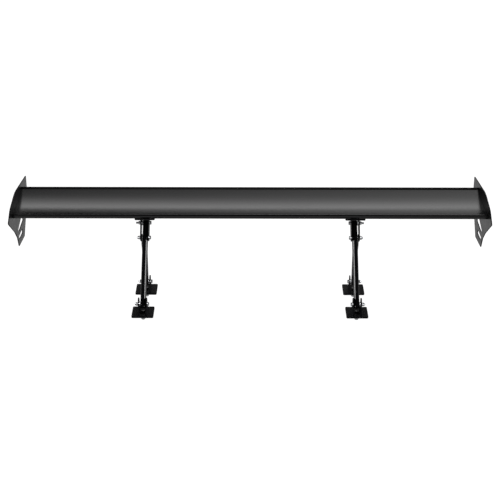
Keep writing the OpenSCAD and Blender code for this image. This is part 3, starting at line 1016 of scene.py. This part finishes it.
flangeScrew = {
    "tipAt": 0.012,            # heights over the flange's seat; the head hangs below it
    "threadFrom": 0.0035,
    "threadTo": 0.0115,
    "tip": 0.0018,
    "taperTop": 0.0022,
    "core": 0.0021,
    "shank": 0.0025,
    "pitch": 0.0008,
    "collar": ((0.0052, 0), (0.0053, -0.0003), (0.0050, -0.0009), (0.0040, -0.001)),
    "across": 0.008,
    "rim": 0.0038,
    "headFrom": -0.001,
    "headTo": -0.0034,
    "dish": -0.0032,
}


def headRows(seat, ridge=0.0):    # a hexagon head with a dished top
    across, rim, top = bolt["across"], bolt["rim"], seat + bolt["head"]
    rows = [hexRow(across, seat + bolt["ease"]), hexRow(across, top, rim, bolt["slope"]), (rim, top)]
    if ridge:
        rows.append((rim - bolt["ridgeIn"], top + ridge))
    return rows + [(rim - bolt["dishIn"], top - bolt["dish"]), (needle, top - bolt["dish"])]


def boltRows(length):    # tip at height 0, head above the length
    shank, rim, ease, taper = bolt["shank"], bolt["rim"], bolt["ease"], bolt["taper"]
    rows = [(needle, 0), (bolt["tip"], 0), (bolt["taperTop"], taper)]
    rows += threadRows(bolt["core"], shank, bolt["pitch"], taper, bolt["thread"])
    rows += [(shank, length), (rim - ease, length), (rim, length + ease)]
    return rows + headRows(length, bolt["ridge"])


def nutRows(height, collar=0.0):    # seat at height 0; a lock nut has a round collar
    across, rim, slope = bolt["across"], bolt["rim"], bolt["slope"]
    bore, ease, top = nut["bore"], nut["mouthEase"], height - collar
    rows = [(bore, ease), (nut["mouth"], 0), (nut["face"], 0), hexRow(across, ease, rim, -slope),
            hexRow(across, top, rim, slope)]
    if collar:
        rows += [(nut["collarSide"], top), (nut["collarSide"], height - nut["collarEase"]),
                 (nut["collarFace"], height), (nut["collarMouth"], height)]
    else:
        rows += [(nut["face"], top), (nut["mouth"], top)]
    return rows + [(bore, height - nut["topEase"]), (bore, ease)]


def ringRows(outer, inner, thick, ease):
    return [(inner, ease), (inner + ease, 0), (outer - ease, 0), (outer, ease), (outer, thick - ease),
            (outer - ease, thick), (inner + ease, thick), (inner, thick - ease), (inner, ease)]


def acrossStand(x, pivot, turn=1):    # from a fastener's own axis to a place across the right stand
    place = Matrix.Translation((stand["x"] + x, pivot[0], pivot[1]))
    return place @ Matrix.Rotation(turn * math.pi / 2, 4, "Y")


def upright(x, y, z):    # from a fastener's own axis to an upright place at the right stand
    return Matrix.Translation((stand["x"] + x, y, z))


masters = {
    "longBolt": turnPart("longBolt", boltRows(bolt["longBolt"])),
    "shortBolt": turnPart("shortBolt", boltRows(bolt["shortBolt"])),
    "lockNut": turnPart("lockNut", nutRows(nut["lock"], nut["collar"]), loop=True),
    "plainNut": turnPart("plainNut", nutRows(nut["plain"]), loop=True),
    "washer": turnPart("washer", ringRows(washer["radius"], washer["hole"], washer["thick"], washer["ease"]),
                       loop=True),
    "spacer": turnPart("spacer", ringRows(spacer["radius"], stand["bore"], lug["thick"], spacer["ease"]),
                       loop=True),
}


def makeCrossBolt(name, pivot, kind, nodes):    # a bolt through both ears, with a lock nut and two washers
    seat = stand["earOuter"] + washer["thick"]
    screw = copyOf(masters[kind], name, acrossStand(bolt[kind] - seat, pivot, -1))
    fitPair(screw, name + "Bolt", "fastener_zinc", nodes + "_bolt")
    parts = [copyOf(masters["lockNut"], name, acrossStand(seat + nut["film"], pivot)),
             copyOf(masters["washer"], name, acrossStand(stand["earOuter"], pivot)),
             copyOf(masters["washer"], name, acrossStand(-seat, pivot))]
    fitPair(joined(name, parts), name + "Nut", "fastener_zinc", nodes + "_nut")


def makeSpacer(name, pivot, x, node):
    fitPair(copyOf(masters["spacer"], name, acrossStand(x, pivot)), name, "spacer_zinc", node)


def makeDeckFastener(end, pivot):    # a bolt whose stud hangs under the foot, with a washer and a nut on it
    under, plateTop = foot["pad"], foot["pad"] + stand["sheet"]
    tip, seat = under - deckBolt["stud"], under - deckBolt["seat"]
    core, shank, pitch, neck = bolt["core"], bolt["shank"], bolt["pitch"], deckBolt["neck"]
    taperTop = tip + bolt["taper"]
    rows = [(needle, tip), (deckBolt["tip"], tip), (core, taperTop)]
    rows += threadRows(core - deckBolt["depth"], core, pitch, taperTop, seat)
    rows.append((shank, seat))
    rows += threadRows(core, shank, pitch, seat, under - deckBolt["threadEnd"])
    rows += [(shank, under), (neck, under + deckBolt["neckEase"])]
    rows += [(neck, plateTop), (deckBolt["face"], plateTop)]
    stud = settle(turnPart("deckBolt", rows + headRows(plateTop)), upright(0, pivot[0], 0))
    fitPair(stud, end + "DeckBolt", "screw_black", end.lower() + "_deck_bolt")
    washerAt = seat - washer["thick"]
    parts = [copyOf(masters["washer"], end, upright(0, pivot[0], washerAt)),
             copyOf(masters["plainNut"], end, upright(0, pivot[0], washerAt - nut["plain"]))]
    fitPair(joined(end, parts), end + "DeckNut", "fastener_zinc", end.lower() + "_deck_nut")


def makeBracketScrews():
    across, rim, shank = flangeScrew["across"], flangeScrew["rim"], flangeScrew["shank"]
    tipAt, start, end = flangeScrew["tipAt"], flangeScrew["threadFrom"], flangeScrew["threadTo"]
    top = flangeScrew["headTo"]
    rows = [(needle, tipAt), (flangeScrew["tip"], tipAt), (flangeScrew["taperTop"], end)]
    rows += threadRows(flangeScrew["core"], shank, flangeScrew["pitch"], start, end)[::-1]
    rows += [(shank, 0), *flangeScrew["collar"], hexRow(across, flangeScrew["headFrom"])]
    rows += [hexRow(across, top, rim, -bolt["slope"]), (rim, top), (needle, flangeScrew["dish"])]
    screw = turnPart("flangeScrew", rows)
    seat = bracket["flangeTop"] - stand["sheet"]
    screws = [copyOf(screw, "bracketScrew", upright(x, y, seat)) for x, y in bracket["holes"]]
    discard(screw)
    fitPair(joined("bracketScrews", screws), "BracketScrews", "fastener_zinc", "bracket_screws")


makeCrossBolt("Top", stand["topPivot"], "longBolt", "top")
makeCrossBolt("Lock", lockPivot, "shortBolt", "lock")
spacerAt = {"Front": lug["start"], "Rear": -lug["start"] - lug["thick"]}
for end, x in spacerAt.items():
    pivot = stand[end.lower() + "Pivot"]
    makeCrossBolt(end + "Foot", pivot, "shortBolt", end.lower() + "_foot")
    makeDeckFastener(end, pivot)
    makeSpacer(end + "Spacer", pivot, x, end.lower() + "_spacer")
makeSpacer("TopSpacer", stand["topPivot"], lug["start"], "top_spacer")
makeBracketScrews()
for master in masters.values():
    discard(master)
print("fasteners are made")
